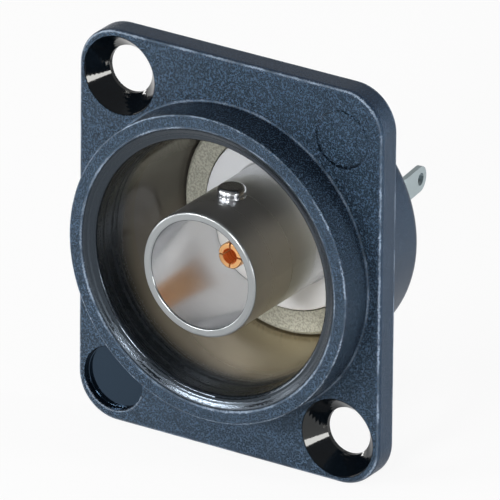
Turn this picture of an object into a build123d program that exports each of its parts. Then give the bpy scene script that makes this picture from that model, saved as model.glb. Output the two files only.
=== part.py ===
from build123d import *
import math
import os

# Panel jack for coaxial cable: a bayonet barrel, insulated, in a die-cast flange housing.
# Millimetres. +Z is up and +Y goes back through the panel, so the mating face looks along -Y.
# The origin is the centre of the flange's rear face, which seats on the panel.

# Flange plate
flange_width = 26.0
flange_height = 31.0
flange_thickness = 1.9
flange_corner_radius = 3.3
flange_edge_radius = 0.35

# Fixing holes on one diagonal and a blind pocket in a third corner
hole_inset = 3.5
hole_radius = 1.85
hole_land = 0.35
countersink_radius = 3.03
countersink_edge_radius = 0.12
pocket_radius = 2.5
pocket_depth = 0.55
pocket_edge_radius = 0.08
pocket_side_inset = 3.1
pocket_bottom_inset = 3.35

# Collar in front of the flange and the drafted bore that runs back from its mouth
collar_margin = 1.1
collar_height = 2.9
collar_land = 0.9
collar_edge_radius = 0.12
collar_root_radius = 0.12
mouth_edge_radius = 0.2
lead_in_width = 0.73
lead_in_depth = 0.33
lip_width = 0.4
lip_drop = 0.08
lip_edge_radius = 0.3
bore_draft = 5.0
bore_depth = 11.8

# Cup behind the flange, closed by a web that carries the jack
cup_wall = 1.35
cup_draft = 3.0
web_thickness = 1.2
rear_edge_radius = 1.0
floor_corner_radius = 0.1
spigot_inset = 0.1
spigot_length = 1.5
spigot_edge_radius = 0.2

# Clearances
fit_clearance = 0.06
thread_clearance = 0.03
press_clearance = 0.01
bead_clearance = 0.02
jack_pocket_clearance = 0.12
spigot_gap = 0.05
ring_clearance = 0.03

# Turned jack: barrel, flange and shank
barrel_radius = 4.82
barrel_wall = 0.66
barrel_length = 11.4
rim_outer_edge_radius = 0.2
rim_inner_edge_radius = 0.15
jack_flange_thickness = 0.9
jack_flange_edge_radius = 0.12
jack_proud = 0.2
shank_radius = 4.76
shank_flat_depth = 0.45
shank_chamfer = 0.3
shank_beyond_nut = 0.9
shank_bore_radius = 3.0

# Bayonet lugs
lug_radius = 1.05
lug_tip_radius = 5.5
lug_setback = 4.3
lug_edge_radius = 0.3
lug_socket_floor = 0.2

# Insulation between jack and housing
insulation_wall = 0.75
ring_land = 1.78
ring_floor = 0.5
ring_chamfer = 0.25
front_spigot_length = 0.55
rear_washer_margin = 0.17
rear_washer_thickness = 0.6

# Dielectric beads, retaining ring and centre contact
dielectric_setback = 8.7
front_bead_length = 2.0
rear_boss_radius = 1.95
rear_boss_length = 0.8
retaining_ring_thickness = 0.8
contact_radius = 1.0
contact_bore_radius = 0.6
contact_bore_depth = 5.0
contact_setback = 4.1
contact_slots = 4
contact_slot_width = 0.14
contact_slot_length = 2.8
contact_edge_radius = 0.1
shoulder_radius = 1.6
shoulder_length = 0.8
cup_length = 3.0
cup_bore_radius = 0.75
cup_bore_depth = 2.3
cup_cutaway_length = 1.5

# Solder tag
tag_ring_width = 1.6
tag_thickness = 0.4
tag_offset = 2.97
tag_width = 1.95
tag_clearance = 0.15
tag_length = 4.2
tag_lean = 7.0
tag_bend_radius = 0.4
tag_hole_radius = 0.48
tag_hole_inset = 0.97

# Lock washer and nut
lock_washer_thickness = 0.45
lock_washer_margin = 0.1
lock_washer_rim = 0.65
lock_washer_teeth = 10
lock_notch_width = 1.4
lock_tooth_clearance = 0.08
nut_across_flats = 12.7
nut_thickness = 1.9
nut_chamfer_angle = 30.0
nut_thread_chamfer = 0.25

# How far a cutting shape runs past the face that it opens
overrun = 1.0

# Radii that follow, from the flange inwards
collar_radius = flange_width / 2 - collar_margin
spigot_radius = collar_radius - spigot_inset
mouth_radius = collar_radius - collar_land
lip_radius = mouth_radius - lead_in_width
bore_mouth_radius = lip_radius - lip_width
bore_mouth_depth = lead_in_depth + lip_drop
draft_slope = math.tan(math.radians(bore_draft))
bore_floor_radius = bore_mouth_radius - (bore_depth - bore_mouth_depth) * draft_slope
ring_radius = bore_floor_radius - floor_corner_radius - ring_clearance
jack_pocket_radius = ring_radius - ring_land
jack_flange_radius = jack_pocket_radius - jack_pocket_clearance

# Radii that follow, from the jack outwards
barrel_bore_radius = barrel_radius - barrel_wall
lug_floor_radius = barrel_bore_radius + lug_socket_floor
insulator_bore_radius = shank_radius + fit_clearance
insulator_spigot_radius = insulator_bore_radius + insulation_wall
web_hole_radius = insulator_spigot_radius + fit_clearance
contact_hole_radius = contact_radius + bead_clearance
shoulder_pocket_radius = shoulder_radius + bead_clearance
nut_bore_radius = shank_radius + thread_clearance
tag_ring_radius = insulator_bore_radius + tag_ring_width
lock_washer_radius = nut_across_flats / 2 - lock_washer_margin
rear_washer_radius = nut_across_flats / math.sqrt(3) + rear_washer_margin
tag_reach = rear_washer_radius + tag_clearance + tag_thickness

# Places along the axis, front to back
plate_front_y = -flange_thickness
collar_front_y = plate_front_y - collar_height
bore_floor_y = collar_front_y + bore_depth
web_rear_y = bore_floor_y + web_thickness
jack_seat_y = bore_floor_y - ring_floor
jack_face_y = jack_seat_y - jack_flange_thickness
ring_face_y = jack_face_y + jack_proud
rim_y = jack_face_y - barrel_length
bead_face_y = rim_y + dielectric_setback
step_y = bead_face_y + front_bead_length
tag_seat_y = web_rear_y + rear_washer_thickness
lock_washer_y = tag_seat_y + tag_thickness
nut_seat_y = lock_washer_y + lock_washer_thickness
nut_rear_y = nut_seat_y + nut_thickness
shank_end_y = nut_rear_y + shank_beyond_nut
ring_seat_y = shank_end_y - retaining_ring_thickness
boss_end_y = shank_end_y + rear_boss_length
contact_tip_y = rim_y + contact_setback
contact_end_y = boss_end_y + cup_length

# Corners of the flange, right and top being positive
hole_x = flange_width / 2 - hole_inset
hole_z = flange_height / 2 - hole_inset
pocket_x = pocket_side_inset - flange_width / 2
pocket_z = pocket_bottom_inset - flange_height / 2


def front_plane(y):
    """Sketch plane square to the axis, seen from the front: x to the right, y up."""
    return Plane(origin=(0, y, 0), x_dir=(1, 0, 0), z_dir=(0, -1, 0))


def profile(points, rounds=()):
    """Half section of (radius, y) points; each round is a corner and its radius."""
    section = make_face(Polyline(*points, close=True))
    for corner, radius in rounds:
        vertex = section.vertices().sort_by_distance((corner[0], corner[1], 0))[0]
        section = fillet(vertex, radius)
    return section


def turned(points, rounds=()):
    """Solid of revolution about the Y axis."""
    return revolve(profile(points, rounds), Axis.Y)


def rod(radius, start_y, end_y):
    """Plain cylinder along the axis."""
    return turned([(0, start_y), (radius, start_y), (radius, end_y), (0, end_y)])


def tube(outer_radius, inner_radius, start_y, end_y):
    """Plain tube along the axis."""
    corners = [(inner_radius, start_y), (outer_radius, start_y)]
    corners += [(outer_radius, end_y), (inner_radius, end_y)]
    return turned(corners)


def flat_rod(radius, start_y, end_y):
    """Cylinder with the shank's flat along its underside, at this radius's own clearance."""
    flat_z = -(radius - shank_flat_depth)
    below = Pos(0, (start_y + end_y) / 2, flat_z - radius) * Box(
        4 * radius, 2 * (end_y - start_y), 2 * radius)
    return rod(radius, start_y, end_y) - below


def body_radius(y):
    """Outer radius of the cup, which narrows to the rear."""
    return bore_floor_radius + cup_wall + (bore_floor_y - y) * math.tan(math.radians(cup_draft))


def ring_wall_radius(y):
    """Outer radius of the insulating ring, drafted with the bore around it."""
    return ring_radius + (bore_floor_y - y) * draft_slope


def flange_plate():
    """Rectangular plate with rounded corners and a softened front edge."""
    outline = RectangleRounded(flange_width, flange_height, flange_corner_radius)
    plate = extrude(front_plane(0) * outline, flange_thickness)
    front_edges = plate.faces().sort_by(Axis.Y)[0].edges()
    return fillet(front_edges, flange_edge_radius)


def collar_and_cup():
    """Collar, mouth, drafted bore, web, cup and panel spigot as one turned wall."""
    collar_edge = (collar_radius, collar_front_y)
    collar_root = (collar_radius, plate_front_y)
    foot_radius = collar_radius + 2 * collar_root_radius
    mouth_edge = (mouth_radius, collar_front_y)
    lip_edge = (lip_radius, collar_front_y + lead_in_depth)
    bore_edge = (bore_mouth_radius, collar_front_y + bore_mouth_depth)
    floor_corner = (bore_floor_radius, bore_floor_y)
    spigot_edge = (spigot_radius, spigot_length)
    rear_edge = (body_radius(web_rear_y), web_rear_y)
    points = [mouth_edge, collar_edge, collar_root, (foot_radius, plate_front_y)]
    points += [(foot_radius, 0), (spigot_radius, 0), spigot_edge]
    points += [(body_radius(spigot_length), spigot_length), rear_edge]
    points += [(web_hole_radius, web_rear_y), (web_hole_radius, bore_floor_y)]
    points += [floor_corner, bore_edge, lip_edge]
    rounds = [(collar_edge, collar_edge_radius), (collar_root, collar_root_radius)]
    rounds += [(mouth_edge, mouth_edge_radius), (bore_edge, lip_edge_radius)]
    rounds += [(floor_corner, floor_corner_radius), (spigot_edge, spigot_edge_radius)]
    rounds += [(rear_edge, rear_edge_radius)]
    return turned(points, rounds)


def screw_hole():
    """Through hole with a deep countersink, on the axis; its front edge is softened."""
    rim = (countersink_radius, plate_front_y)
    far = countersink_radius + overrun
    points = [(0, plate_front_y - overrun), (far, plate_front_y - overrun)]
    points += [(far, plate_front_y), rim, (hole_radius, -hole_land)]
    points += [(hole_radius, overrun), (0, overrun)]
    return turned(points, [(rim, countersink_edge_radius)])


def blind_pocket():
    """Shallow round pocket, on the axis; its front edge is softened."""
    floor_y = plate_front_y + pocket_depth
    rim = (pocket_radius, plate_front_y)
    far = pocket_radius + overrun
    points = [(0, plate_front_y - overrun), (far, plate_front_y - overrun), (far, plate_front_y)]
    points += [rim, (pocket_radius, floor_y), (0, floor_y)]
    rounds = [(rim, pocket_edge_radius), ((pocket_radius, floor_y), pocket_edge_radius)]
    return turned(points, rounds)


def housing():
    """Die-cast housing: flange, collar, cup and web are one piece."""
    plate = flange_plate() - Pos(pocket_x, 0, pocket_z) * blind_pocket()
    for x, z in [(-hole_x, hole_z), (hole_x, -hole_z)]:
        plate -= Pos(x, 0, z) * screw_hole()
    plate -= rod(mouth_radius, plate_front_y - overrun, overrun)
    return plate + collar_and_cup()


def jack_body():
    """Turned jack: barrel, locating flange and flatted shank."""
    rim_outer = (barrel_radius, rim_y)
    rim_inner = (barrel_bore_radius, rim_y)
    flange_front = (jack_flange_radius, jack_face_y)
    points = [(0, rim_y), rim_outer, (barrel_radius, jack_face_y), flange_front]
    points += [(jack_flange_radius, jack_seat_y), (0, jack_seat_y)]
    rounds = [(rim_outer, rim_outer_edge_radius), (flange_front, jack_flange_edge_radius)]
    body = turned(points, rounds) + shank()
    far = barrel_bore_radius + overrun
    points = [(0, rim_y - overrun), (far, rim_y - overrun), (far, rim_y), rim_inner]
    points += [(barrel_bore_radius, step_y), (0, step_y)]
    body -= turned(points, [(rim_inner, rim_inner_edge_radius)])
    body -= rod(shank_bore_radius, step_y - overrun, shank_end_y + overrun)
    for side in (1, -1):
        body -= lug_rod(lug_radius + press_clearance, lug_floor_radius, lug_tip_radius, side)
    return body


def shank():
    """Threaded shank as a plain rod at the thread's crest, flatted and chamfered."""
    chamfer_y = shank_end_y - shank_chamfer
    points = [(0, jack_seat_y), (shank_radius, jack_seat_y), (shank_radius, chamfer_y)]
    points += [(shank_radius - shank_chamfer, shank_end_y), (0, shank_end_y)]
    return flat_rod(shank_radius, jack_seat_y, shank_end_y) & turned(points)


def lug_rod(radius, start, end, side):
    """Cylinder across the axis at the lugs' place, upwards for side 1 and down for -1."""
    return Plane(
        origin=(0, rim_y + lug_setback, 0), x_dir=(1, 0, 0), z_dir=(0, 0, side)
    ) * Pos(0, 0, (start + end) / 2) * Cylinder(radius, end - start)


def bayonet_lug(side):
    """Pressed pin whose tip stands out of the barrel, with a rounded end."""
    pin = lug_rod(lug_radius, lug_floor_radius, lug_tip_radius, side)
    tip = pin.faces().sort_by(Axis.Z)[-1 if side > 0 else 0]
    return fillet(tip.edges(), lug_edge_radius)


def front_insulating_ring():
    """Moulded ring that seats the jack's flange and centres its shank in the web."""
    spigot_end_y = bore_floor_y + front_spigot_length
    chamfer_y = ring_face_y + ring_chamfer
    face_radius = ring_wall_radius(chamfer_y) - ring_chamfer
    points = [(jack_pocket_radius, ring_face_y), (face_radius, ring_face_y)]
    points += [(ring_wall_radius(chamfer_y), chamfer_y), (ring_radius, bore_floor_y)]
    points += [(insulator_spigot_radius, bore_floor_y), (insulator_spigot_radius, spigot_end_y)]
    points += [(0, spigot_end_y), (0, jack_seat_y), (jack_pocket_radius, jack_seat_y)]
    return turned(points) - flat_rod(insulator_bore_radius, jack_seat_y - overrun,
                                     spigot_end_y + overrun)


def rear_insulating_washer():
    """Shouldered washer behind the web; its spigot meets the front ring's in the web."""
    spigot_start_y = bore_floor_y + front_spigot_length + spigot_gap
    points = [(0, spigot_start_y), (insulator_spigot_radius, spigot_start_y)]
    points += [(insulator_spigot_radius, web_rear_y), (rear_washer_radius, web_rear_y)]
    points += [(rear_washer_radius, tag_seat_y), (0, tag_seat_y)]
    return turned(points) - flat_rod(insulator_bore_radius, spigot_start_y - overrun,
                                     tag_seat_y + overrun)


def front_dielectric():
    """White bead that closes the barrel's bore and carries the contact's front."""
    return tube(barrel_bore_radius - bead_clearance, contact_hole_radius, bead_face_y, step_y)


def rear_dielectric():
    """Bead in the shank, counterbored for the contact's shoulder, with a boss at its rear."""
    bead_radius = shank_bore_radius - bead_clearance
    points = [(shoulder_pocket_radius, step_y), (bead_radius, step_y)]
    points += [(bead_radius, ring_seat_y), (rear_boss_radius, ring_seat_y)]
    points += [(rear_boss_radius, boss_end_y), (contact_hole_radius, boss_end_y)]
    points += [(contact_hole_radius, step_y + shoulder_length)]
    points += [(shoulder_pocket_radius, step_y + shoulder_length)]
    return turned(points)


def retaining_ring():
    """Ring pressed into the shank's end to hold the beads and the contact."""
    return tube(shank_bore_radius - press_clearance, rear_boss_radius + bead_clearance,
                ring_seat_y, shank_end_y)


def centre_contact():
    """Slotted socket in front, a shoulder between the beads and an open solder cup behind."""
    tip = (contact_radius, contact_tip_y)
    bore_end_y = contact_tip_y + contact_bore_depth
    points = [(contact_bore_radius, contact_tip_y), tip, (contact_radius, step_y)]
    points += [(shoulder_radius, step_y), (shoulder_radius, step_y + shoulder_length)]
    points += [(contact_radius, step_y + shoulder_length), (contact_radius, contact_end_y)]
    points += [(cup_bore_radius, contact_end_y), (cup_bore_radius, contact_end_y - cup_bore_depth)]
    points += [(0, contact_end_y - cup_bore_depth), (0, bore_end_y)]
    points += [(contact_bore_radius, bore_end_y)]
    contact = turned(points, [(tip, contact_edge_radius)])
    for number in range(contact_slots // 2):
        blade = Box(contact_slot_width, contact_slot_length + overrun, 4 * contact_radius)
        blade_y = contact_tip_y + (contact_slot_length - overrun) / 2
        turn = number * 360 / contact_slots
        contact -= Rot(0, turn, 0) * Pos(0, blade_y, 0) * blade
    cutaway = Box(4 * contact_radius, cup_cutaway_length + overrun, 2 * contact_radius)
    cutaway_y = contact_end_y - (cup_cutaway_length - overrun) / 2
    contact -= Pos(0, cutaway_y, contact_radius) * cutaway
    return contact


def solder_tag():
    """Punched ring whose arm is bent to run back beside the nut, leaning in, with a wire hole."""
    lean = math.radians(tag_lean)
    along = Vector(-math.sin(lean), math.cos(lean))
    outward = Vector(math.cos(lean), math.sin(lean))
    rear_y = tag_seat_y + tag_thickness
    bend_outside = Vector(tag_reach, tag_seat_y)
    inner_x = tag_reach - tag_thickness * (1 + math.sin(lean)) / math.cos(lean)
    bend_inside = Vector(inner_x, rear_y)
    tip_outside = bend_outside + along * tag_length
    tip_inside = tip_outside - outward * tag_thickness
    corners = [bend_outside, tip_outside, tip_inside, bend_inside]
    points = [(0, tag_seat_y)] + [(corner.X, corner.Y) for corner in corners] + [(0, rear_y)]
    rounds = [((bend_inside.X, bend_inside.Y), tag_bend_radius)]
    rounds += [((bend_outside.X, bend_outside.Y), tag_bend_radius + tag_thickness)]
    strip = Pos(0, 0, tag_offset) * extrude(profile(points, rounds), tag_width / 2, both=True)
    face = Plane(origin=(tag_reach, tag_seat_y, tag_offset), x_dir=along, z_dir=outward)
    end = tag_length - tag_width / 2
    waste = Pos(end + tag_width / 2, 0) * Rectangle(tag_width, 2 * tag_width)
    waste -= Pos(end, 0) * Circle(tag_width / 2)
    waste += Pos(tag_length - tag_hole_inset, 0) * Circle(tag_hole_radius)
    strip -= extrude(face * waste, 2 * tag_thickness, both=True)
    tag = rod(tag_ring_radius, tag_seat_y, rear_y) + strip
    return tag - flat_rod(insulator_bore_radius, tag_seat_y - overrun, rear_y + overrun)


def lock_washer():
    """Toothed washer, pressed flat by the nut, with its teeth pointing in."""
    tip_radius = nut_bore_radius + lock_tooth_clearance
    root_radius = lock_washer_radius - lock_washer_rim
    notch_end = root_radius - lock_notch_width / 2
    notch = Pos(notch_end / 2, 0) * Rectangle(notch_end, lock_notch_width)
    notch += Pos(notch_end, 0) * Circle(lock_notch_width / 2)
    disc = Circle(lock_washer_radius) - Circle(tip_radius)
    for number in range(lock_washer_teeth):
        disc -= Rot(0, 0, number * 360 / lock_washer_teeth) * notch
    return extrude(front_plane(nut_seat_y) * disc, lock_washer_thickness)


def hex_nut():
    """Thin hexagon nut, chamfered on its rear corners and at both ends of its bore."""
    flat_distance = nut_across_flats / 2
    hexagon = RegularPolygon(flat_distance, 6, major_radius=False)
    blank = extrude(front_plane(nut_rear_y) * hexagon, nut_thickness)
    slope = math.tan(math.radians(nut_chamfer_angle))
    far = nut_across_flats
    cone_start_y = nut_rear_y - (far - flat_distance) * slope
    points = [(0, cone_start_y), (far, cone_start_y), (flat_distance, nut_rear_y), (0, nut_rear_y)]
    blank &= turned(points) + rod(far, cone_start_y - nut_thickness, cone_start_y)
    wide = nut_bore_radius + nut_thread_chamfer + overrun
    points = [(0, nut_seat_y - overrun), (wide, nut_seat_y - overrun)]
    points += [(nut_bore_radius, nut_seat_y + nut_thread_chamfer)]
    points += [(nut_bore_radius, nut_rear_y - nut_thread_chamfer)]
    points += [(wide, nut_rear_y + overrun), (0, nut_rear_y + overrun)]
    return blank - turned(points)


parts = {
    "housing": housing(),
    "front_insulating_ring": front_insulating_ring(),
    "rear_insulating_washer": rear_insulating_washer(),
    "jack_body": jack_body(),
    "upper_bayonet_lug": bayonet_lug(1),
    "lower_bayonet_lug": bayonet_lug(-1),
    "front_dielectric": front_dielectric(),
    "rear_dielectric": rear_dielectric(),
    "retaining_ring": retaining_ring(),
    "centre_contact": centre_contact(),
    "solder_tag": solder_tag(),
    "lock_washer": lock_washer(),
    "hex_nut": hex_nut(),
}

os.makedirs("parts", exist_ok=True)
for name, solid in parts.items():
    export_step(solid, f"parts/{name}.step")
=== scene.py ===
import math
from collections import namedtuple
from functools import partial

import bpy
from mathutils import Matrix, Vector


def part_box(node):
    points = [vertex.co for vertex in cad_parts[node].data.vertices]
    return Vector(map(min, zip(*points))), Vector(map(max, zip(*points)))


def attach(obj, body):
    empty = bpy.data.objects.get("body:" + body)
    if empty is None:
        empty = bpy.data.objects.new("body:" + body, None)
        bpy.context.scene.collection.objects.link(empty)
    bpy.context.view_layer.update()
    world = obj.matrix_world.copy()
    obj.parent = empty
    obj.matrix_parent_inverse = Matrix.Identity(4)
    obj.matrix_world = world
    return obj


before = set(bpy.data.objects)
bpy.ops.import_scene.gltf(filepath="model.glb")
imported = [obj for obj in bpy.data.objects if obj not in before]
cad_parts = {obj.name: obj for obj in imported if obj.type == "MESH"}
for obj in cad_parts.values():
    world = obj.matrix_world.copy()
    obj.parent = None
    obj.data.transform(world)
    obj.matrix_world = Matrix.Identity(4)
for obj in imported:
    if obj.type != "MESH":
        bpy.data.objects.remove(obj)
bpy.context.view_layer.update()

bl_info = {
    "name": "Coaxial Panel Jack",
    "version": (1, 0, 0),
    "blender": (4, 5, 0),
    "location": "3D View > Sidebar > Coaxial Jack",
    "description": "Finishes, thread and studio for a bayonet panel jack in a cast flange housing",
    "category": "Object",
}

MM = 0.001
HOUSING_LOW, HOUSING_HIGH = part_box("housing")
JACK_LOW, JACK_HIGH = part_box("jack_body")
NUT_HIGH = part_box("hex_nut")[1]

# Places on the pieces in mm: y runs back from the flange's rear face, radii start at the axis
HALF_WIDTH, HALF_HEIGHT = HOUSING_HIGH.x / MM, HOUSING_HIGH.z / MM
FLANGE_FRONT = -1.9
FRONT_HALF = (-1.0, -1.5)
CORNER_RADIUS = 3.3
CORNER_CENTRE = (HALF_WIDTH - CORNER_RADIUS, HALF_HEIGHT - CORNER_RADIUS, 0.0)
COLLAR_FRONT = HOUSING_LOW.y / MM
COLLAR_RADIUS = 11.9
MOUTH_RADIUS = 11.0
BORE_RADIUS = 9.87
BORE_FLOOR = 7.0
BARE_DEPTHS = (-2.3, 0.8)
HOLE_INSET = 3.5
SINK_CENTRES = ((HOLE_INSET - HALF_WIDTH, HALF_HEIGHT - HOLE_INSET),
                (HALF_WIDTH - HOLE_INSET, HOLE_INSET - HALF_HEIGHT))
SINK_RADIUS = 3.03
POCKET_CENTRE = (3.1 - HALF_WIDTH, 3.35 - HALF_HEIGHT)
POCKET_RADIUS = 2.5
POCKET_FLOOR = -1.35
MARK_CENTRE = (HALF_WIDTH - 3.4, HALF_HEIGHT - 3.9)
MARK_RADIUS = 2.25
BARREL_RIM = JACK_LOW.y / MM
BARREL_RADIUS = 4.82
BARREL_BORE_RADIUS = 4.16
BEAD_FACE = 2.9
JACK_FACE = 5.6
CONTACT_BORE_RADIUS = 0.6
CONTACT_BORE_FLOOR = 3.3

Place = namedtuple("Place", "mm x y z across radius section")


def linear(code):
    """Linear colour of an sRGB hex code."""
    parts = [int(code[at:at + 2], 16) / 255 for at in (1, 3, 5)]
    return [p / 12.92 if p <= 0.04045 else ((p + 0.055) / 1.055) ** 2.4 for p in parts]


def plug(tree, sockets, values):
    """Fills sockets by name or number, each with a value or a link from another node's output."""
    for socket, value in values.items():
        if isinstance(value, bpy.types.NodeSocket):
            tree.links.new(value, sockets[socket])
        else:
            sockets[socket].default_value = value


def put(tree, kind, inputs=None, **settings):
    """Adds a node with its settings and inputs, and returns its outputs."""
    node = tree.nodes.new(kind)
    for name, value in settings.items():
        setattr(node, name, value)
    plug(tree, node.inputs, inputs or {})
    return node.outputs


def finish_of(name):
    """A new material with its shader; returns the material, its tree and the shader's inputs."""
    material = bpy.data.materials.new(name)
    material.use_nodes = True
    tree = material.node_tree
    return material, tree, tree.nodes["Principled BSDF"].inputs


def places(tree):
    """Object position in mm: whole, x, y, z, the part across the axis and its length, the radius.

    The section is a vector of radius and y, for what runs round the axis.
    """
    here = put(tree, "ShaderNodeTexCoord")["Object"]
    mm = put(tree, "ShaderNodeVectorMath", {0: here, "Scale": 1 / MM}, operation="SCALE")[0]
    x, y, z = put(tree, "ShaderNodeSeparateXYZ", {0: mm})
    across = put(tree, "ShaderNodeCombineXYZ", {0: x, 1: 0.0, 2: z})[0]
    radius = put(tree, "ShaderNodeVectorMath", {0: across}, operation="LENGTH")["Value"]
    section = put(tree, "ShaderNodeCombineXYZ", {0: radius, 1: y, 2: 0.0})[0]
    return Place(mm, x, y, z, across, radius, section)


def where(tree, *spans):
    """Share of the surface inside every span, each a value and the two ends it fades between."""
    share = 1.0
    for value, outside, inside in spans:
        fade = put(tree, "ShaderNodeMapRange", {0: value, 1: outside, 2: inside},
                   interpolation_type="SMOOTHSTEP")[0]
        share = put(tree, "ShaderNodeMath", {0: share, 1: fade}, operation="MULTIPLY")[0]
    return share


def give(nodes, material):
    """Puts a finish on CAD nodes."""
    for node in nodes:
        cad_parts[node].material_slots[0].material = material


class JackCasting(bpy.types.PropertyGroup):
    coat: bpy.props.FloatVectorProperty(
        name="Coat", description="Colour of the coated casting", subtype="COLOR",
        default=linear("#05090e"), min=0.0, max=1.0)
    coat_high: bpy.props.FloatVectorProperty(
        name="Grain", description="Colour of the coat's raised grain", subtype="COLOR",
        default=linear("#364658"), min=0.0, max=1.0)
    coat_side: bpy.props.FloatVectorProperty(
        name="Sides", description="Colour of the smoother coat on the sides and the cup",
        subtype="COLOR", default=linear("#0a1b2e"), min=0.0, max=1.0)
    gloss: bpy.props.FloatVectorProperty(
        name="Gloss", description="Tint of what the coat mirrors", subtype="COLOR",
        default=linear("#a0caf4"), min=0.0, max=1.0)
    # Also the colour of the painted highlights along the edges
    worn_edge_sheen: bpy.props.FloatVectorProperty(
        name="Worn Edge", description="Colour where the coat is thin on an edge", subtype="COLOR",
        default=linear("#8b97a6"), min=0.0, max=1.0)
    # Also paints light, shown most at the bore's lower right
    bore: bpy.props.FloatVectorProperty(
        name="Bore", description="Colour of the burnished bore wall", subtype="COLOR",
        default=linear("#cfc2aa"), min=0.0, max=1.0)
    grain_width: bpy.props.FloatProperty(
        name="Grain Width", description="Width of one grain of the coat", unit="LENGTH",
        subtype="DISTANCE", default=0.115 * MM, min=0.02 * MM, precision=5)


class JackMetal(bpy.types.PropertyGroup):
    nickel: bpy.props.FloatVectorProperty(
        name="Nickel", description="Colour of the nickel plate", subtype="COLOR",
        default=linear("#d2d4d7"), min=0.0, max=1.0)
    gold: bpy.props.FloatVectorProperty(
        name="Gold", description="Colour of the gold plate", subtype="COLOR",
        default=linear("#ecb47a"), min=0.0, max=1.0)
    # Painted reflection: the deeper orange that light gains bouncing inside the contact's bore
    copper: bpy.props.FloatVectorProperty(
        name="Thin Gold", description="Colour of the thin gold in the contact's bore",
        subtype="COLOR", default=linear("#e8843e"), min=0.0, max=1.0)
    tin: bpy.props.FloatVectorProperty(
        name="Tin", description="Colour of the tinned tag", subtype="COLOR",
        default=linear("#c0ced2"), min=0.0, max=1.0)
    steel: bpy.props.FloatVectorProperty(
        name="Washer Steel", description="Colour of the plated spring steel", subtype="COLOR",
        default=linear("#a3a3a1"), min=0.0, max=1.0)


class JackPlastic(bpy.types.PropertyGroup):
    insulator: bpy.props.FloatVectorProperty(
        name="Insulator", description="Colour of the moulded insulating rings", subtype="COLOR",
        default=linear("#bcbcae"), min=0.0, max=1.0)
    bead: bpy.props.FloatVectorProperty(
        name="Bead", description="Colour of the white dielectric", subtype="COLOR",
        default=linear("#f4f3f0"), min=0.0, max=1.0)


class JackThread(bpy.types.PropertyGroup):
    pitch: bpy.props.FloatProperty(
        name="Pitch", description="Distance from crest to crest, 32 to the inch", unit="LENGTH",
        subtype="DISTANCE", default=0.794 * MM, min=0.1 * MM, precision=5)
    height: bpy.props.FloatProperty(
        name="Crest Height", description="How far a crest stands out of the shank", unit="LENGTH",
        subtype="DISTANCE", default=0.1 * MM, min=0.01 * MM, precision=5)
    shank_radius: bpy.props.FloatProperty(
        name="Shank Radius", description="Radius of the shank that carries the thread",
        unit="LENGTH", subtype="DISTANCE", default=4.76 * MM, precision=5)
    flat: bpy.props.FloatProperty(
        name="Flat", description="Distance of the shank's flat below the axis", unit="LENGTH",
        subtype="DISTANCE", default=4.31 * MM, precision=5)
    chamfer: bpy.props.FloatProperty(
        name="Chamfer", description="Plain stretch left at the shank's end", unit="LENGTH",
        subtype="DISTANCE", default=0.25 * MM, min=0.0, precision=5)


class JackStudio(bpy.types.PropertyGroup):
    azimuth: bpy.props.FloatProperty(
        name="Azimuth", description="Where the camera stands round the object", unit="ROTATION",
        subtype="ANGLE", default=math.radians(32.6))
    elevation: bpy.props.FloatProperty(
        name="Elevation", description="How high the camera stands", unit="ROTATION",
        subtype="ANGLE", default=math.radians(23.93))
    roll: bpy.props.FloatProperty(
        name="Roll", description="How far the camera leans", unit="ROTATION", subtype="ANGLE",
        default=math.radians(0.53))
    distance: bpy.props.FloatProperty(
        name="Distance", description="From the camera to its target", unit="LENGTH",
        subtype="DISTANCE", default=0.975, min=0.1)
    key: bpy.props.FloatProperty(
        name="Key Light", description="Power of the soft light at the upper left", unit="POWER",
        default=1.7, min=0.0)
    front: bpy.props.FloatProperty(
        name="Front Light", description="Power of the small light in front", unit="POWER",
        default=1.5, min=0.0)
    left: bpy.props.FloatProperty(
        name="Left Light", description="Power of the soft light at the left", unit="POWER",
        default=1.1, min=0.0)
    right: bpy.props.FloatProperty(
        name="Right Light", description="Power of the small light at the right", unit="POWER",
        default=1.5, min=0.0)
    right_spot: bpy.props.FloatProperty(
        name="Right Spot", description="Power of the small light at the right, nearer the camera",
        unit="POWER", default=0.5, min=0.0)
    left_spot: bpy.props.FloatProperty(
        name="Left Spot", description="Power of the small light at the left, a little behind",
        unit="POWER", default=0.3, min=0.0)
    even: bpy.props.FloatProperty(
        name="Even Light", description="Strength of the soft light from all round", default=0.35,
        min=0.0)
    room_front: bpy.props.FloatProperty(
        name="Room in Front", description="Brightness of the room in front, seen in metal",
        default=0.15, min=0.0)
    room_back: bpy.props.FloatProperty(
        name="Room Behind", description="Brightness of the room behind, seen in metal",
        default=0.4, min=0.0)
    floor: bpy.props.FloatVectorProperty(
        name="Floor", description="Colour of the floor and backdrop", subtype="COLOR",
        default=linear("#ffffff"), min=0.0, max=1.0)


def edge_line(tree, point, centre, width, jag):
    """A line along the edge that passes through centre, gone at width; jag breaks it up."""
    gap = put(tree, "ShaderNodeVectorMath", {0: point, 1: (*centre, 0.0)},
              operation="DISTANCE")["Value"]
    gap = put(tree, "ShaderNodeMath", {0: gap, 1: jag}, operation="ADD")[0]
    return where(tree, (gap, width, 0.35 * width))


def outward(tree, x, z):
    """How far out a point of the flange lies; on its outline that is the corner's radius."""
    corner = put(tree, "ShaderNodeCombineXYZ", {0: x, 1: z, 2: 0.0})[0]
    corner = put(tree, "ShaderNodeVectorMath", {0: corner}, operation="ABSOLUTE")[0]
    corner = put(tree, "ShaderNodeVectorMath", {0: corner, 1: CORNER_CENTRE},
                 operation="SUBTRACT")[0]
    corner = put(tree, "ShaderNodeVectorMath", {0: corner, 1: (0.0, 0.0, 0.0)},
                 operation="MAXIMUM")[0]
    return put(tree, "ShaderNodeVectorMath", {0: corner}, operation="LENGTH")["Value"]


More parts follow.
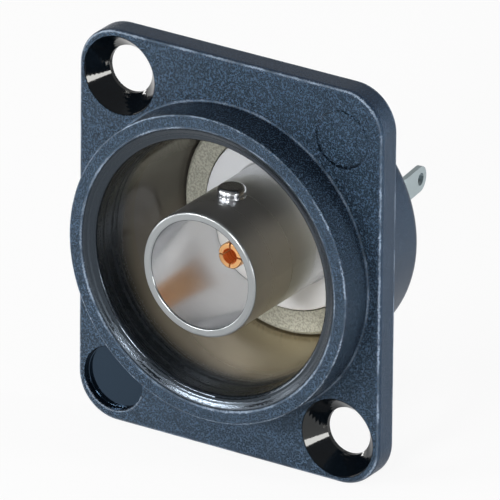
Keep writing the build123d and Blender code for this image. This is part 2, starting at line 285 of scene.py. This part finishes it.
class JACK_OT_casting(bpy.types.Operator):
    """Coats the die-cast housing, wears its edges and leaves the machined recesses smooth"""
    bl_idname = "jack.casting"
    bl_label = "Finish Housing"

    def execute(self, context):
        sizes = context.scene.jack_casting
        # Powder coated zinc die casting: near black with a blue cast, a fine even grain that
        # glitters, and pale lines along sharp edges, partly where the coat is thin and partly a
        # painted highlight
        material, tree, shader = finish_of("powder_coated_zinc_casting")
        add = partial(put, tree)
        mm, x, y, z, across, radius, section = places(tree)
        # The real grain is about 0.08 mm wide; drawn a little coarser so that it shows
        grain = add("ShaderNodeTexNoise", {
            "Vector": mm, "Scale": MM / sizes.grain_width, "Detail": 2.0,
            "Roughness": 0.6})["Fac"]
        blotch = add("ShaderNodeTexNoise", {"Vector": mm, "Scale": 0.5, "Detail": 3.0})["Fac"]

        # Smooth places: the countersinks, the pocket's floor, the bore and the stepped mouth
        first_sink, second_sink, pocket_gap, mark_gap = [
            add("ShaderNodeVectorMath", {0: across, 1: (wide, 0.0, tall)},
                operation="DISTANCE")["Value"]
            for wide, tall in (*SINK_CENTRES, POCKET_CENTRE, MARK_CENTRE)]
        sink_gap = add("ShaderNodeMath", {0: first_sink, 1: second_sink}, operation="MINIMUM")[0]
        in_sink = where(tree, (sink_gap, SINK_RADIUS + 0.05, SINK_RADIUS - 0.03), (y, 0.0, -0.06))
        in_pocket = where(tree, (pocket_gap, POCKET_RADIUS + 0.06, POCKET_RADIUS - 0.02),
                          (y, POCKET_FLOOR + 0.45, POCKET_FLOOR + 0.15),
                          (y, FLANGE_FRONT - 0.02, FLANGE_FRONT + 0.04))
        in_bore = where(tree, (radius, BORE_RADIUS + 0.03, BORE_RADIUS - 0.03),
                        (y, BORE_FLOOR + 0.4, BORE_FLOOR + 0.2))
        in_mouth = where(tree, (radius, MOUTH_RADIUS - 0.15, MOUTH_RADIUS - 0.25),
                         (y, *FRONT_HALF))
        machined = add("ShaderNodeMath", {0: in_bore, 1: in_mouth}, operation="MAXIMUM")[0]
        machined = add("ShaderNodeMath", {0: machined, 1: in_sink}, operation="MAXIMUM")[0]
        smooth = add("ShaderNodeMath", {0: machined, 1: in_pocket}, operation="MAXIMUM")[0]
        grainy = add("ShaderNodeMapRange", {0: smooth, 3: 1.0, 4: 0.0})[0]

        # The bore's metal shows through deeper in; the extra at the lower right is painted light,
        # where the upper left lamps shine into the bore
        lower_right = add("ShaderNodeVectorMath", {0: across, 1: (0.6, 0.0, -0.8)},
                          operation="DOT_PRODUCT")["Value"]
        painted_lit_side = add("ShaderNodeMapRange", {0: lower_right, 1: -6.0, 2: 8.0, 3: 0.2, 4: 1.0})[0]
        deep = where(tree, (y, *BARE_DEPTHS))
        bore_metal_and_painted_light = add("ShaderNodeMath", {0: in_bore, 1: deep}, operation="MULTIPLY")[0]
        bore_metal_and_painted_light = add("ShaderNodeMath", {0: bore_metal_and_painted_light, 1: painted_lit_side}, operation="MULTIPLY")[0]

        # The coat is calmer on the flange's sides and on all that lies behind it
        out = outward(tree, x, z)
        on_side = where(tree, (out, CORNER_RADIUS - 0.1, CORNER_RADIUS - 0.02), (y, 0.2, 0.0))
        behind = where(tree, (y, 0.0, 0.2))
        on_side = add("ShaderNodeMath", {0: on_side, 1: behind}, operation="MAXIMUM")[0]

        # Edge lines, partly the coat rubbed thin and partly a painted highlight where rounded
        # edges catch the lamps: thin pale lines, jagged where they cross the grain, round the
        # collar's front, its mouth and its foot, the flange's front and rear, and the bottom of
        # the pocket, where above_bottom is nought
        jag = add("ShaderNodeMapRange", {0: grain, 3: -0.2, 4: 0.2})[0]
        outline = add("ShaderNodeCombineXYZ", {0: out, 1: y, 2: 0.0})[0]
        above_bottom = add("ShaderNodeMapRange", {
            0: z, 1: POCKET_CENTRE[1] - 0.85, 2: POCKET_CENTRE[1] - 0.45})[0]
        pocket_edge = add("ShaderNodeCombineXYZ", {0: pocket_gap, 1: y, 2: above_bottom})[0]
        lines = 0.0
        for point, centre, width, strength in [
                (section, (COLLAR_RADIUS - 0.02, COLLAR_FRONT + 0.02), 0.09, 1.0),
                (section, (MOUTH_RADIUS - 0.08, COLLAR_FRONT + 0.04), 0.1, 0.9),
                (section, (COLLAR_RADIUS + 0.1, FLANGE_FRONT - 0.03), 0.09, 0.5),
                (outline, (CORNER_RADIUS - 0.12, FLANGE_FRONT + 0.07), 0.1, 1.0),
                (outline, (CORNER_RADIUS, 0.0), 0.11, 0.9),
                (pocket_edge, (POCKET_RADIUS + 0.05, FLANGE_FRONT - 0.03), 0.12, 0.9)]:
            line = edge_line(tree, point, centre, width, jag)
            line = add("ShaderNodeMath", {0: line, 1: strength}, operation="MULTIPLY")[0]
            lines = add("ShaderNodeMath", {0: lines, 1: line}, operation="MAXIMUM")[0]
        line_breakup = add("ShaderNodeMapRange", {0: blotch, 1: 0.4, 2: 0.58, 3: 0.2, 4: 1.0})[0]
        worn_and_highlit = add("ShaderNodeMath", {0: lines, 1: line_breakup}, operation="MULTIPLY")[0]

        # Paler specks where the grain stands high
        speck = where(tree, (grain, 0.5, 0.62))
        calm = add("ShaderNodeMapRange", {0: on_side, 3: 1.0, 4: 0.4})[0]
        for share in (grainy, calm):
            speck = add("ShaderNodeMath", {0: speck, 1: share}, operation="MULTIPLY")[0]
        colour = (*sizes.coat, 1.0)
        for share, tone in [(on_side, sizes.coat_side), (speck, sizes.coat_high),
                            (bore_metal_and_painted_light, sizes.bore), (worn_and_highlit, sizes.worn_edge_sheen)]:
            colour = add("ShaderNodeMix", {0: share, 6: colour, 7: (*tone, 1.0)},
                         data_type="RGBA")[2]

        # Duller rings, ragged where they cross the grain, break up what the mouth mirrors
        ragged = add("ShaderNodeMath", {0: radius, 1: jag}, operation="ADD")[0]
        ragged = add("ShaderNodeCombineXYZ", {0: ragged, 1: y, 2: 0.0})[0]
        dull = add("ShaderNodeTexNoise", {"Vector": ragged, "Scale": 6.0, "Detail": 1.0})["Fac"]
        dull = add("ShaderNodeMath", {0: where(tree, (dull, 0.47, 0.52)), 1: in_mouth},
                   operation="MULTIPLY")[0]
        roughness = add("ShaderNodeMapRange", {0: grainy, 3: 0.08, 4: 0.24})[0]
        for share, more in [(bore_metal_and_painted_light, 0.18), (dull, 0.4)]:
            roughness = add("ShaderNodeMath", {0: share, 1: more, 2: roughness},
                            operation="MULTIPLY_ADD")[0]

        # The coat mirrors blue, machined places nearly grey and the mouth something between
        tint = (*sizes.gloss, 1.0)
        for share, tone in [(machined, (0.75, 0.75, 0.72)), (in_mouth, (0.6, 0.72, 0.86))]:
            tint = add("ShaderNodeMix", {0: share, 6: tint, 7: (*tone, 1.0)},
                       data_type="RGBA")[2]

        # Grain, weaker on the sides and nearly gone in the mouth; tool rings 0.2 mm apart in the
        # countersinks; and a plain round mark, raised a little at the flange's top right
        grit = add("ShaderNodeMath", {0: in_mouth, 1: 0.07, 2: grainy},
                   operation="MULTIPLY_ADD")[0]
        calm = add("ShaderNodeMapRange", {0: on_side, 3: 1.0, 4: 0.7})[0]
        for share in (grain, calm):
            grit = add("ShaderNodeMath", {0: grit, 1: share}, operation="MULTIPLY")[0]
        rings = add("ShaderNodeMath", {0: sink_gap, 1: 2 * math.pi / 0.2},
                    operation="MULTIPLY")[0]
        rings = add("ShaderNodeMath", {0: rings}, operation="SINE")[0]
        rings = add("ShaderNodeMath", {0: rings, 1: in_sink}, operation="MULTIPLY")[0]
        mark = where(tree, (mark_gap, MARK_RADIUS + 0.03, MARK_RADIUS - 0.19), (y, *FRONT_HALF))
        normal = add("ShaderNodeBump", {"Height": grit, "Distance": 0.14 * MM})[0]
        for height, depth in [(rings, 0.001), (mark, 0.3)]:
            normal = add("ShaderNodeBump", {"Height": height, "Distance": depth * MM,
                                            "Normal": normal})[0]
        plug(tree, shader, {"Base Color": colour, "Roughness": roughness, "Metallic": bore_metal_and_painted_light,
                            "IOR": 1.75, "Specular Tint": tint, "Normal": normal})
        give(["housing"], material)
        return {"FINISHED"}


class JACK_OT_insulators(bpy.types.Operator):
    """Finishes the moulded insulating ring and washer and the white beads"""
    bl_idname = "jack.insulators"
    bl_label = "Finish Insulation"

    def execute(self, context):
        sizes = context.scene.jack_plastic
        # Glass filled moulding: warm grey, matt, with a fine speckle of filler
        material, tree, shader = finish_of("glass_filled_moulding")
        add = partial(put, tree)
        speck = add("ShaderNodeTexNoise", {
            "Vector": places(tree).mm, "Scale": 6.0, "Detail": 3.0, "Roughness": 0.65})["Fac"]
        colour = add("ShaderNodeMix", {
            0: where(tree, (speck, 0.4, 0.6)), 6: (*[0.62 * c for c in sizes.insulator], 1.0),
            7: (*sizes.insulator, 1.0)}, data_type="RGBA")[2]
        normal = add("ShaderNodeBump", {"Height": speck, "Distance": 0.09 * MM})[0]
        plug(tree, shader, {"Base Color": colour, "Roughness": 0.42, "Normal": normal})
        give(["front_insulating_ring", "rear_insulating_washer"], material)

        # Turned fluoropolymer: waxy white, with light that sinks in and faint tool rings about
        # 0.1 mm apart
        material, tree, shader = finish_of("turned_fluoropolymer")
        add = partial(put, tree)
        here = places(tree)
        rings = add("ShaderNodeTexNoise", {
            "Vector": here.section, "Scale": 9.0, "Detail": 1.0})["Fac"]
        cloud = add("ShaderNodeTexNoise", {"Vector": here.mm, "Scale": 1.2})["Fac"]
        colour = add("ShaderNodeMix", {
            0: cloud, 6: (*sizes.bead, 1.0), 7: (*[0.94 * c for c in sizes.bead], 1.0)},
            data_type="RGBA")[2]
        normal = add("ShaderNodeBump", {"Height": rings, "Distance": 0.006 * MM})[0]
        plug(tree, shader, {
            "Base Color": colour, "Roughness": 0.42, "Normal": normal, "Subsurface Weight": 0.6,
            "Subsurface Radius": (1.0, 1.0, 1.0), "Subsurface Scale": 1.0 * MM})
        give(["front_dielectric", "rear_dielectric"], material)
        return {"FINISHED"}


def turned_metal(name, colour, roughness, ring_depth, nodes):
    """A plated metal with the fine rings that turning leaves round the axis."""
    material, tree, shader = finish_of(name)
    add = partial(put, tree)
    here = places(tree)
    # The real feed marks are about 0.03 mm apart; drawn 0.08 mm apart so that they show
    rings = add("ShaderNodeTexNoise", {
        "Vector": here.section, "Scale": 12.0, "Detail": 2.0, "Roughness": 0.6})["Fac"]
    film = add("ShaderNodeTexNoise", {"Vector": here.mm, "Scale": 0.8, "Detail": 2.0})["Fac"]
    tint = add("ShaderNodeMix", {
        0: film, 6: (*[0.93 * c for c in colour], 1.0), 7: (*colour, 1.0)}, data_type="RGBA")[2]
    rough = add("ShaderNodeMapRange", {0: rings, 3: roughness - 0.08, 4: roughness + 0.08})[0]
    normal = add("ShaderNodeBump", {"Height": rings, "Distance": ring_depth * MM})[0]
    plug(tree, shader, {"Base Color": tint, "Roughness": rough, "Metallic": 1.0,
                        "Normal": normal})
    give(nodes, material)
    return material, tree, shader


class JACK_OT_turned_metal(bpy.types.Operator):
    """Plates the jack, its lugs and ring with nickel and the contact with gold"""
    bl_idname = "jack.turned_metal"
    bl_label = "Plate Turned Metal"

    def execute(self, context):
        sizes = context.scene.jack_metal
        # Bright nickel on turned brass: a silver mirror with fine rings round the axis, smoother
        # in the reamed barrel, greyer on its rim, where the grey paints a darker reflection, and
        # satin on the jack flange's face, whose paler colour, like the slightly paler inside of
        # the barrel, is painted light where they lie in shade
        tree, shader = turned_metal("nickel_on_turned_brass", sizes.nickel, 0.3, 0.003,
                                    ["jack_body", "retaining_ring"])[1:]
        add = partial(put, tree)
        here = places(tree)
        inside = where(tree, (here.radius, BARREL_BORE_RADIUS + 0.1, BARREL_BORE_RADIUS + 0.04),
                       (here.y, BEAD_FACE + 0.1, BEAD_FACE))
        face = where(tree, (here.y, JACK_FACE - 0.3, JACK_FACE - 0.1),
                     (here.y, JACK_FACE + 0.3, JACK_FACE + 0.1),
                     (here.radius, BARREL_RADIUS + 0.08, BARREL_RADIUS + 0.18))
        rim = where(tree, (here.y, BARREL_RIM + 0.2, BARREL_RIM + 0.12))
        rough = shader["Roughness"].links[0].from_socket
        for share, more in [(inside, -0.07), (face, 0.3)]:
            rough = add("ShaderNodeMath", {0: share, 1: more, 2: rough},
                        operation="MULTIPLY_ADD")[0]
        solid = add("ShaderNodeMapRange", {0: face, 3: 1.0, 4: 0.4})[0]
        # Painted light: the face and a little of the barrel's inside are mixed towards white; the
        # rim's grey is a painted darker reflection
        pale = add("ShaderNodeMath", {0: inside, 1: 0.15}, operation="MULTIPLY")[0]
        pale = add("ShaderNodeMath", {0: face, 1: pale}, operation="MAXIMUM")[0]
        colour = shader["Base Color"].links[0].from_socket
        for share, tone in [(pale, (0.95, 0.97, 1.0)), (rim, (0.38, 0.4, 0.41))]:
            colour = add("ShaderNodeMix", {0: share, 6: colour, 7: (*tone, 1.0)},
                         data_type="RGBA")[2]
        # The reamer's rings stretch what the barrel mirrors along its axis
        stretch = add("ShaderNodeMath", {0: inside, 1: 0.85}, operation="MULTIPLY")[0]
        round_axis = add("ShaderNodeTangent", direction_type="RADIAL", axis="Y")[0]
        plug(tree, shader, {
            "Base Color": colour, "Roughness": rough, "Metallic": solid, "Anisotropic": stretch,
            "Anisotropic Rotation": 0.25, "Tangent": round_axis})

        # Bright nickel on the pressed lugs, with shallow grooves 0.5 mm apart round each
        tree, shader = turned_metal("nickel_on_pins", sizes.nickel, 0.24, 0.001,
                                    ["upper_bayonet_lug", "lower_bayonet_lug"])[1:]
        add = partial(put, tree)
        groove = add("ShaderNodeMath", {0: places(tree).z, 1: 2 * math.pi / 0.5},
                     operation="MULTIPLY")[0]
        groove = add("ShaderNodeMath", {0: groove}, operation="SINE")[0]
        normal = add("ShaderNodeBump", {"Height": groove, "Distance": 0.015 * MM})[0]
        plug(tree, shader, {"Normal": normal})

        # Gold on turned copper alloy: warm and pale outside, deeper and duller in its bore, where
        # the deeper orange is a painted reflection of the light that bounces round inside
        tree, shader = turned_metal("gold_on_copper_alloy", sizes.gold, 0.28, 0.003,
                                    ["centre_contact"])[1:]
        add = partial(put, tree)
        here = places(tree)
        hollow = where(tree, (here.radius, CONTACT_BORE_RADIUS + 0.06, CONTACT_BORE_RADIUS),
                       (here.y, CONTACT_BORE_FLOOR + 0.7, CONTACT_BORE_FLOOR + 0.5))
        colour = add("ShaderNodeMix", {
            0: hollow, 6: shader["Base Color"].links[0].from_socket, 7: (*sizes.copper, 1.0)},
            data_type="RGBA")[2]
        solid = add("ShaderNodeMapRange", {0: hollow, 3: 0.8, 4: 0.2})[0]
        plug(tree, shader, {"Base Color": colour, "Metallic": solid})

        # Nickel on a turned hexagon: the nut's faces carry the same fine rings
        turned_metal("nickel_on_hexagon", sizes.nickel, 0.28, 0.005, ["hex_nut"])
        return {"FINISHED"}


def stamped_metal(name, colour, roughness, nodes):
    """A plated sheet metal with a faint mottle and a fine unevenness."""
    material, tree, shader = finish_of(name)
    add = partial(put, tree)
    mm = places(tree).mm
    mottle = add("ShaderNodeTexNoise", {
        "Vector": mm, "Scale": 2.5, "Detail": 3.0, "Roughness": 0.6})["Fac"]
    tint = add("ShaderNodeMix", {
        0: mottle, 6: (*[0.86 * c for c in colour], 1.0), 7: (*colour, 1.0)},
        data_type="RGBA")[2]
    rough = add("ShaderNodeMapRange", {0: mottle, 3: roughness - 0.1, 4: roughness + 0.1})[0]
    fine = add("ShaderNodeTexNoise", {"Vector": mm, "Scale": 8.0})["Fac"]
    normal = add("ShaderNodeBump", {"Height": fine, "Distance": 0.004 * MM})[0]
    plug(tree, shader, {"Base Color": tint, "Roughness": rough, "Metallic": 1.0,
                        "Normal": normal})
    give(nodes, material)


class JACK_OT_stamped_metal(bpy.types.Operator):
    """Finishes the tinned solder tag and the plated lock washer"""
    bl_idname = "jack.stamped_metal"
    bl_label = "Finish Stamped Metal"

    def execute(self, context):
        sizes = context.scene.jack_metal
        # Tin on stamped brass: pale grey and satin
        stamped_metal("tin_on_stamped_brass", sizes.tin, 0.4, ["solder_tag"])
        # Nickel on spring steel: greyer and a little shinier
        stamped_metal("nickel_on_spring_steel", sizes.steel, 0.34, ["lock_washer"])
        return {"FINISHED"}


def thread_tree(material):
    """Geometry nodes for one helical ridge round +Y, cut off at the shank's flat."""
    tree = bpy.data.node_groups.new("Helical Thread", "GeometryNodeTree")
    tree.interface.new_socket("Geometry", in_out="OUTPUT", socket_type="NodeSocketGeometry")
    for name in ("Pitch", "Shank Radius", "Crest Height", "Start", "Length", "Flat"):
        tree.interface.new_socket(name, in_out="INPUT", socket_type="NodeSocketFloat")
    add = partial(put, tree)
    given = add("NodeGroupInput")

    # The ridge is a square on its corner, six tenths of the pitch wide, mostly sunk in the shank
    ridge = add("ShaderNodeMath", {0: given["Pitch"], 1: 0.3}, operation="MULTIPLY")[0]
    crest = add("ShaderNodeMath", {0: given["Shank Radius"], 1: given["Crest Height"]})[0]
    root = add("ShaderNodeMath", {0: crest, 1: ridge}, operation="SUBTRACT")[0]
    turns = add("ShaderNodeMath", {0: given["Length"], 1: given["Pitch"]}, operation="DIVIDE")[0]
    helix = add("GeometryNodeCurveSpiral", {
        "Resolution": 72, "Rotations": turns, "Start Radius": root, "End Radius": root,
        "Height": given["Length"]})[0]
    helix = add("GeometryNodeSetCurveNormal", {"Curve": helix}, mode="Z_UP")[0]

    # It runs out over a twelfth of its length at each end
    along = add("GeometryNodeSplineParameter")["Factor"]
    back = add("ShaderNodeMath", {0: 1.0, 1: along}, operation="SUBTRACT")[0]
    ends = add("ShaderNodeMath", {0: along, 1: back}, operation="MINIMUM")[0]
    taper = add("ShaderNodeMapRange", {0: ends, 2: 1 / 12})[0]
    helix = add("GeometryNodeSetCurveRadius", {"Curve": helix, "Radius": taper})[0]
    square = add("GeometryNodeCurvePrimitiveCircle", {"Resolution": 4, "Radius": ridge})[0]
    mesh = add("GeometryNodeCurveToMesh", {
        "Curve": helix, "Profile Curve": square, "Fill Caps": True})[0]

    # Turned from the z axis to +Y, then cut at the flat
    x, y, z = add("ShaderNodeSeparateXYZ", {0: add("GeometryNodeInputPosition")[0]})
    ahead = add("ShaderNodeMath", {0: z, 1: given["Start"]})[0]
    down = add("ShaderNodeMath", {0: y, 1: -1.0}, operation="MULTIPLY")[0]
    turned = add("ShaderNodeCombineXYZ", {0: x, 1: ahead, 2: down})[0]
    mesh = add("GeometryNodeSetPosition", {"Geometry": mesh, "Position": turned})[0]
    height = add("ShaderNodeSeparateXYZ", {0: add("GeometryNodeInputPosition")[0]})[2]
    flat = add("ShaderNodeMath", {0: given["Flat"], 1: -1.0}, operation="MULTIPLY")[0]
    below = add("FunctionNodeCompare", {0: height, 1: flat}, operation="LESS_THAN")[0]
    mesh = add("GeometryNodeDeleteGeometry", {"Geometry": mesh, "Selection": below})[0]
    mesh = add("GeometryNodeRealizeInstances", {"Geometry": mesh})[0]
    mesh = add("GeometryNodeSetMaterial", {"Geometry": mesh, "Material": material})[0]
    add("NodeGroupOutput", {0: mesh})
    return tree


def grown(name, tree, values):
    """The plain mesh that a geometry tree makes, as a new object on the jack."""
    seed = bpy.data.objects.new(name + "_seed", bpy.data.meshes.new(name + "_seed"))
    bpy.context.scene.collection.objects.link(seed)
    modifier = seed.modifiers.new("grow", "NODES")
    modifier.node_group = tree
    for item in tree.interface.items_tree:
        if item.in_out == "INPUT":
            modifier[item.identifier] = values[item.name]
    ready = seed.evaluated_get(bpy.context.evaluated_depsgraph_get())
    mesh = bpy.data.meshes.new_from_object(ready)
    bpy.data.objects.remove(seed)
    piece = bpy.data.objects.new(name, mesh)
    bpy.context.scene.collection.objects.link(piece)
    return piece


class JACK_OT_thread(bpy.types.Operator):
    """Winds the fine thread that shows behind the nut, broken by the shank's flat"""
    bl_idname = "jack.thread"
    bl_label = "Wind Thread"

    def execute(self, context):
        sizes = context.scene.jack_thread
        # Nickel on the cut thread: the same fine rings, a little brighter
        nickel = context.scene.jack_metal.nickel
        material = turned_metal("nickel_on_thread", nickel, 0.24, 0.002, [])[0]
        start = NUT_HIGH.y - 0.5 * sizes.pitch
        piece = grown("shank_thread", thread_tree(material), {
            "Pitch": sizes.pitch, "Shank Radius": sizes.shank_radius,
            "Crest Height": sizes.height, "Start": start,
            "Length": JACK_HIGH.y - sizes.chamfer - start, "Flat": sizes.flat})
        if not piece.data.polygons:
            raise RuntimeError("the thread came out empty")
        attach(piece, "root")
        return {"FINISHED"}


# The camera's target, its scale there, and its picture's width in pixels and on the sensor
TARGET = Vector((1.86 * MM, -1.9 * MM, 1.025 * MM))
PIXELS_PER_MM = 13.84
PICTURE_PIXELS = 500
SENSOR_WIDTH = 36.0

# Each lamp's direction from the object, its distance and its size, in metres; the key is a wide
# low strip, and its power is the studio's value of the same name
LAMPS = {
    "key": ((-0.5, -0.8, 0.3), 0.6, (0.26, 0.05)),
    "front": ((0.12, -0.95, 0.26), 0.6, (0.1, 0.1)),
    "left": ((-0.9, -0.35, 0.05), 0.6, (0.25, 0.25)),
    "right": ((0.9, 0.3, 0.15), 0.6, (0.08, 0.08)),
    "right_spot": ((0.93, -0.36, 0.12), 0.5, (0.12, 0.12)),
    "left_spot": ((-0.97, 0.15, 0.13), 0.5, (0.1, 0.12)),
}

# The part of the floor that metal mirrors brightly is a wedge that opens to the front left: what
# each side is measured from and the two values it fades between, and so a dark spot under the
# jack, a painted shadow there
WEDGE_RIGHT = ((900.0, -440.0, 0.0), 5.0, -14.0)
WEDGE_LEFT = ((-800.0, 900.0, 0.0), 30.0, 10.0)
SHADOW_SPOT = ((0.004, 0.008, 0.0), 0.008, 0.012)


def lamp(name, direction, distance, size, power):
    """A soft rectangular light that faces the object."""
    light = bpy.data.lights.new(name, "AREA")
    light.shape = "RECTANGLE"
    light.size, light.size_y = size
    light.energy = power
    holder = bpy.data.objects.new(name, light)
    way = Vector(direction).normalized()
    holder.matrix_world = Matrix.Translation(way * distance) @ way.to_track_quat(
        "Z", "Y").to_matrix().to_4x4()
    bpy.context.scene.collection.objects.link(holder)


class JACK_OT_studio(bpy.types.Operator):
    """Sets the camera, the soft lights, the white surroundings and the floor"""
    bl_idname = "jack.studio"
    bl_label = "Set Up Studio"

    def execute(self, context):
        sizes = context.scene.jack_studio
        scene = context.scene
        scene.view_settings.view_transform = "Standard"

        az, el = sizes.azimuth, sizes.elevation
        back = Vector((math.sin(az) * math.cos(el), -math.cos(az) * math.cos(el), math.sin(el)))
        right = Vector((math.cos(az), math.sin(az), 0.0))
        up = back.cross(right)
        lean = Matrix.Rotation(sizes.roll, 3, back)
        right, up = lean @ right, lean @ up
        place = TARGET + back * sizes.distance
        view = bpy.data.cameras.new("camera")
        view.sensor_width = SENSOR_WIDTH
        view.lens = PIXELS_PER_MM * sizes.distance / MM / PICTURE_PIXELS * SENSOR_WIDTH
        view.clip_start, view.clip_end = 0.01, 10.0
        camera = bpy.data.objects.new("camera", view)
        camera.matrix_world = Matrix((
            (right.x, up.x, back.x, place.x), (right.y, up.y, back.y, place.y),
            (right.z, up.z, back.z, place.z), (0.0, 0.0, 0.0, 1.0)))
        scene.collection.objects.link(camera)
        scene.camera = camera

        for name, (direction, distance, size) in LAMPS.items():
            lamp(name, direction, distance, size, getattr(sizes, name))

        # The camera sees white surroundings, metal mirrors a grey room that is darker in front,
        # and everything else gets a soft even light
        world = bpy.data.worlds.new("surroundings")
        world.use_nodes = True
        scene.world = world
        tree = world.node_tree
        add = partial(put, tree)
        path = add("ShaderNodeLightPath")
        rear = add("ShaderNodeSeparateXYZ", {0: add("ShaderNodeTexCoord")["Generated"]})[1]
        room = add("ShaderNodeMapRange", {
            0: rear, 1: -0.25, 2: 0.35, 3: sizes.room_front, 4: sizes.room_back},
            interpolation_type="SMOOTHSTEP")[0]
        strength = add("ShaderNodeMix", {0: path["Is Glossy Ray"], 2: sizes.even, 3: room})[0]
        strength = add("ShaderNodeMix", {0: path["Is Camera Ray"], 2: strength, 3: 1.0})[0]
        plug(tree, tree.nodes["Background"].inputs, {
            "Color": (1.0, 1.0, 1.0, 1.0), "Strength": strength})

        # The camera sees the floor as white paper with a faint shadow, and metal mirrors a bright
        # wedge of it, with a painted shadow under the jack
        bpy.ops.mesh.primitive_plane_add(size=4.0, location=(0, 0, HOUSING_LOW.z))
        floor = bpy.context.object
        floor.name = "floor"
        material, tree, shader = finish_of("white_paper")
        plug(tree, shader, {"Base Color": (*sizes.floor, 1.0), "Roughness": 0.9,
                            "Specular IOR Level": 0.0})
        add = partial(put, tree)
        path = add("ShaderNodeLightPath")
        here = add("ShaderNodeTexCoord")["Object"]
        wedge = where(tree, *[
            (add("ShaderNodeVectorMath", {0: here, 1: origin}, operation=measure)["Value"],
             outside, inside)
            for (origin, outside, inside), measure in [
                (WEDGE_RIGHT, "DOT_PRODUCT"), (WEDGE_LEFT, "DOT_PRODUCT"),
                (SHADOW_SPOT, "DISTANCE")]])
        wedge = add("ShaderNodeMapRange", {0: wedge, 3: 0.1, 4: 0.9})[0]
        share = add("ShaderNodeMath", {0: path["Is Glossy Ray"], 1: wedge},
                    operation="MULTIPLY")[0]
        share = add("ShaderNodeMix", {0: path["Is Camera Ray"], 2: share, 3: 0.9})[0]
        glow = add("ShaderNodeEmission", {"Color": (*sizes.floor, 1.0), "Strength": 1.0})[0]
        paper = tree.nodes["Principled BSDF"].outputs[0]
        mixed = add("ShaderNodeMixShader", {0: share, 1: paper, 2: glow})[0]
        plug(tree, tree.nodes["Material Output"].inputs, {"Surface": mixed})
        floor.data.materials.append(material)
        return {"FINISHED"}


class JACK_PT_panel(bpy.types.Panel):
    bl_label = "Coaxial Panel Jack"
    bl_idname = "JACK_PT_panel"
    bl_space_type = "VIEW_3D"
    bl_region_type = "UI"
    bl_category = "Coaxial Jack"

    def draw(self, context):
        scene = context.scene
        for group, fields in PANEL_FIELDS.items():
            box = self.layout.box()
            for field in fields:
                box.prop(getattr(scene, group), field)
        for operator in OPERATORS:
            self.layout.operator(operator.bl_idname)


GROUPS = {
    "jack_casting": JackCasting,
    "jack_plastic": JackPlastic,
    "jack_metal": JackMetal,
    "jack_thread": JackThread,
    "jack_studio": JackStudio,
}
PANEL_FIELDS = {name: list(group.__annotations__) for name, group in GROUPS.items()}
OPERATORS = [JACK_OT_casting, JACK_OT_insulators, JACK_OT_turned_metal, JACK_OT_stamped_metal,
             JACK_OT_thread, JACK_OT_studio]


def register():
    for cls in [*GROUPS.values(), *OPERATORS, JACK_PT_panel]:
        bpy.utils.register_class(cls)
    for name, group in GROUPS.items():
        setattr(bpy.types.Scene, name, bpy.props.PointerProperty(type=group))


def unregister():
    for name in GROUPS:
        delattr(bpy.types.Scene, name)
    for cls in [JACK_PT_panel, *reversed(OPERATORS), *reversed(GROUPS.values())]:
        bpy.utils.unregister_class(cls)


def main():
    register()
    bpy.ops.jack.casting()
    bpy.ops.jack.insulators()
    bpy.ops.jack.turned_metal()
    bpy.ops.jack.stamped_metal()
    bpy.ops.jack.thread()
    bpy.ops.jack.studio()


if __name__ == "__main__":
    main()
